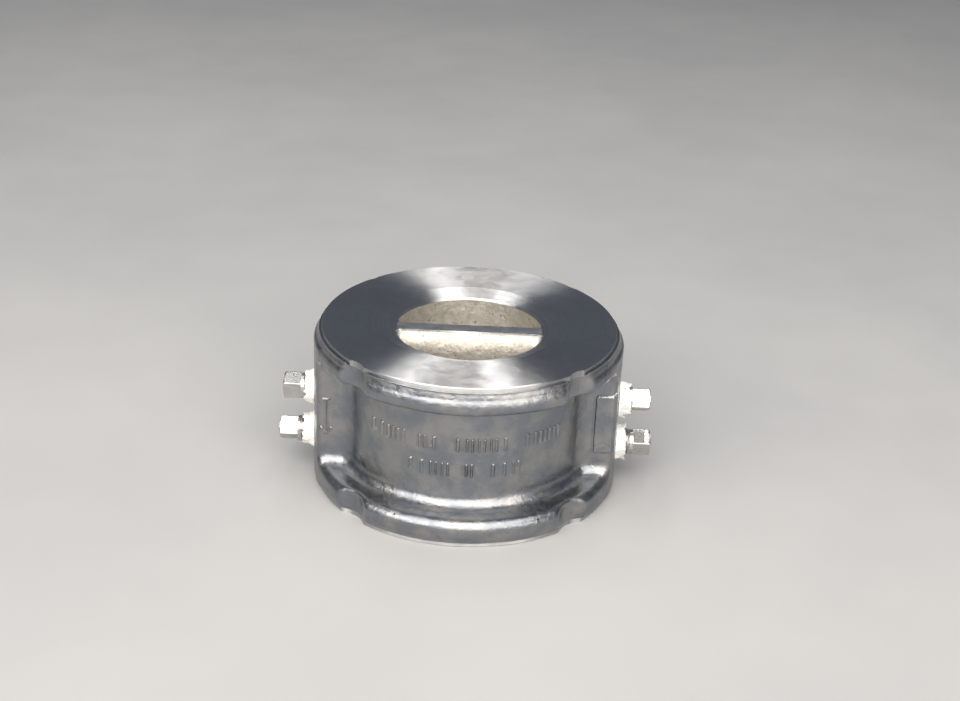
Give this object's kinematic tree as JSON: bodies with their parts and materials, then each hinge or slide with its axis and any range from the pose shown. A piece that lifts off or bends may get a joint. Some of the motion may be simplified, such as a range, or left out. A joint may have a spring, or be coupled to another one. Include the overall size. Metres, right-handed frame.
{
  "type": "wafer check valve",
  "caption": "Dual-plate wafer check valve: cast stainless body clamped between flanges, with two sprung plates that swing open on a hinge pin.",
  "frame": {"origin": "centre of the outlet gasket face, on the flow axis", "axes": "+Z along the flow axis from the outlet up to the inlet, against the flow; +X along the hinge pin and the stop pin"},
  "size_m": [0.1356, 0.111, 0.06],
  "materials": {
    "cast_stainless": "shot-blasted cast stainless steel, machined faces bright",
    "plate_stainless": "cast stainless steel, machined on the seat side",
    "pin_stainless": "ground bar",
    "spring_wire": "drawn wire",
    "washer_stainless": "turned",
    "plug_stainless": "milled square bar",
    "seat_rubber": "moulded fluoroelastomer, satin black",
    "thread_tape": "white PTFE tape, soft satin"
  },
  "bodies": {
    "root": {"valve_body": "cast_stainless", "seat_seal": "seat_rubber", "hinge_pin": "pin_stainless", "stop_pin": "pin_stainless", "closing_spring": "spring_wire", "left_body_bearing": "washer_stainless", "right_body_bearing": "washer_stainless", "left_plate_bearing": "washer_stainless", "right_plate_bearing": "washer_stainless", "left_spring_bearing": "washer_stainless", "right_spring_bearing": "washer_stainless", "left_hinge_plug": "plug_stainless", "left_hinge_tape": "thread_tape", "right_hinge_plug": "plug_stainless", "right_hinge_tape": "thread_tape", "left_stop_plug": "plug_stainless", "left_stop_tape": "thread_tape", "right_stop_plug": "plug_stainless", "right_stop_tape": "thread_tape"},
    "front_plate": {"front_plate": "plate_stainless"},
    "rear_plate": {"rear_plate": "plate_stainless"}
  },
  "joints": [
    {"name": "front_plate_swing", "type": "hinge", "parent": "root", "child": "front_plate", "pos_m": [0, 0, 0.0323], "axis": [1, 0, 0], "range_deg": [0, 85], "stiffness_Nm_per_rad": 0.024, "springref_deg": -60.16, "deforming": ["closing_spring"]},
    {"name": "rear_plate_swing", "type": "hinge", "parent": "root", "child": "rear_plate", "pos_m": [0, 0, 0.0323], "axis": [-1, 0, 0], "range_deg": [0, 85], "stiffness_Nm_per_rad": 0.024, "springref_deg": -60.16, "deforming": ["closing_spring"]}
  ]
}
